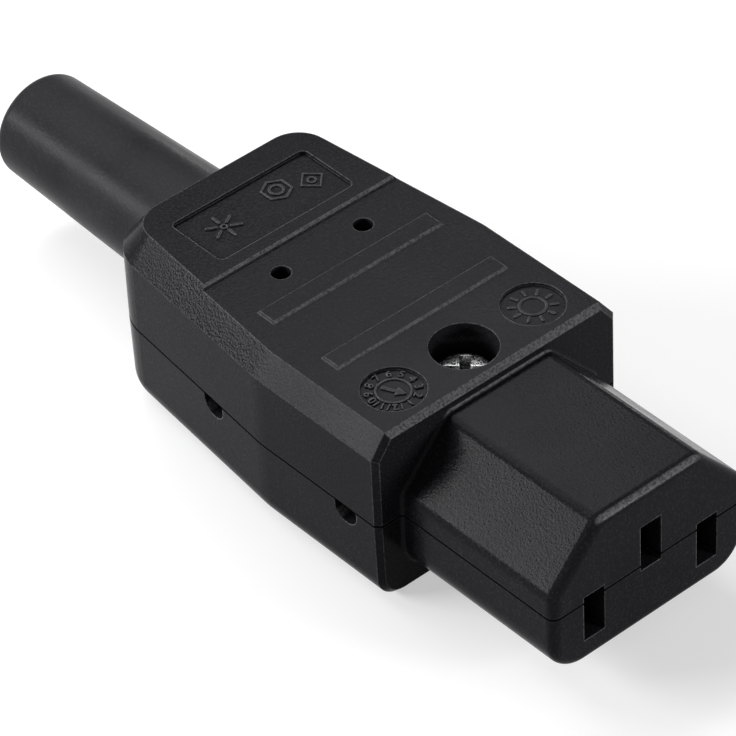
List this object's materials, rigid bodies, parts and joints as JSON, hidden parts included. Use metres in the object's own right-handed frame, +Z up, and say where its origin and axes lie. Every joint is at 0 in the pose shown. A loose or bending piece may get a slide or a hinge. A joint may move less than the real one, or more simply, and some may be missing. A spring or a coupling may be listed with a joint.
{
  "type": "rewirable appliance power connector",
  "caption": "Two-shell rewirable power connector with a three-pole nose, spring contacts, screw terminals, a cord clamp and a tapered cable boot.",
  "frame": {"origin": "on the shoulder face behind the nose, in the centre plane and the shells' parting plane", "axes": "+X along the connector and out of the nose, +Z up from the flat underside, +Y across"},
  "size_m": [0.0881, 0.03, 0.02],
  "materials": {
    "shell": "fine moulded grain",
    "boot": "smooth satin",
    "screw_steel": "zinc plated",
    "clamp": "matte",
    "contact": "rolled strip",
    "spring_steel": "rolled strip",
    "terminal": "drawn and cut"
  },
  "bodies": {
    "root": {"upper_shell": "shell", "lower_shell": "shell", "cable_boot": "boot", "shell_screw": "screw_steel", "spring_washer": "screw_steel", "clamp_bar": "clamp", "clamp_screw_left": "screw_steel", "clamp_screw_right": "screw_steel", "live_contact": "contact", "live_clip": "spring_steel", "live_terminal": "terminal", "live_terminal_screw": "screw_steel", "neutral_contact": "contact", "neutral_clip": "spring_steel", "neutral_terminal": "terminal", "neutral_terminal_screw": "screw_steel", "earth_contact": "contact", "earth_clip": "spring_steel", "earth_terminal": "terminal", "earth_terminal_screw": "screw_steel"}
  },
  "joints": []
}
